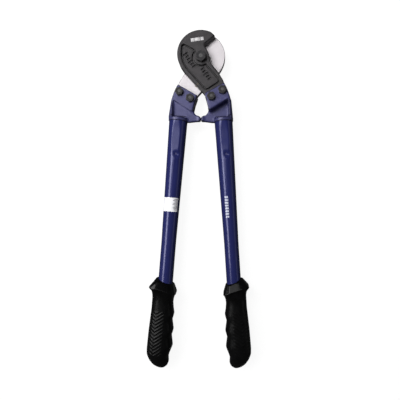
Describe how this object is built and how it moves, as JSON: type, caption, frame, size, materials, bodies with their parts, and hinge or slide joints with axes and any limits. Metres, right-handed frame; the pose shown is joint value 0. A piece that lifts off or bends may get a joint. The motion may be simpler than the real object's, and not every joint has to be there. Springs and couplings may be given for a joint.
{
  "type": "cable cutter",
  "caption": "Two-handed cable and wire-rope cutter with hooked shear blades on a pivot bolt, cast fork arms, tapered tube handles and guarded rubber grips.",
  "frame": {"origin": "on the jaw pivot's axis, in the plane of the pivot bolt's end face, which is the plane that the tool rests on", "axes": "+Y along the tool from the grips to the jaws, +Z out of the side that carries the bolt heads, +X towards the handle that carries the front blade"},
  "size_m": [0.1402, 0.4548, 0.0382],
  "materials": {
    "oxide_steel": "black oxide, satin",
    "ground_steel": "satin ground",
    "fastener_steel": "black oxide",
    "arm_enamel": "satin navy enamel on cast steel",
    "tube_enamel": "gloss navy enamel",
    "grip_rubber": "glossy black PVC",
    "label_film": "white sticker"
  },
  "bodies": {
    "front_half": {"front_blade": "oxide_steel", "pivot_bolt": "fastener_steel", "pivot_washer": "fastener_steel", "pivot_nut": "fastener_steel", "right_arm": "arm_enamel", "right_tube": "tube_enamel", "right_grip": "grip_rubber", "right_outer_bolt": "fastener_steel", "right_outer_washer": "fastener_steel", "right_outer_nut": "fastener_steel", "right_inner_bolt": "fastener_steel", "right_inner_washer": "fastener_steel", "right_inner_nut": "fastener_steel"},
    "rear_half": {"rear_blade": "ground_steel", "left_arm": "arm_enamel", "left_tube": "tube_enamel", "left_grip": "grip_rubber", "size_label": "label_film", "left_outer_bolt": "fastener_steel", "left_outer_washer": "fastener_steel", "left_outer_nut": "fastener_steel", "left_inner_bolt": "fastener_steel", "left_inner_washer": "fastener_steel", "left_inner_nut": "fastener_steel"}
  },
  "joints": [
    {"name": "jaw_pivot", "type": "hinge", "parent": "front_half", "child": "rear_half", "pos_m": [0, 0, 0.02], "axis": [0, 0, -1], "range_deg": [0, 120]}
  ]
}
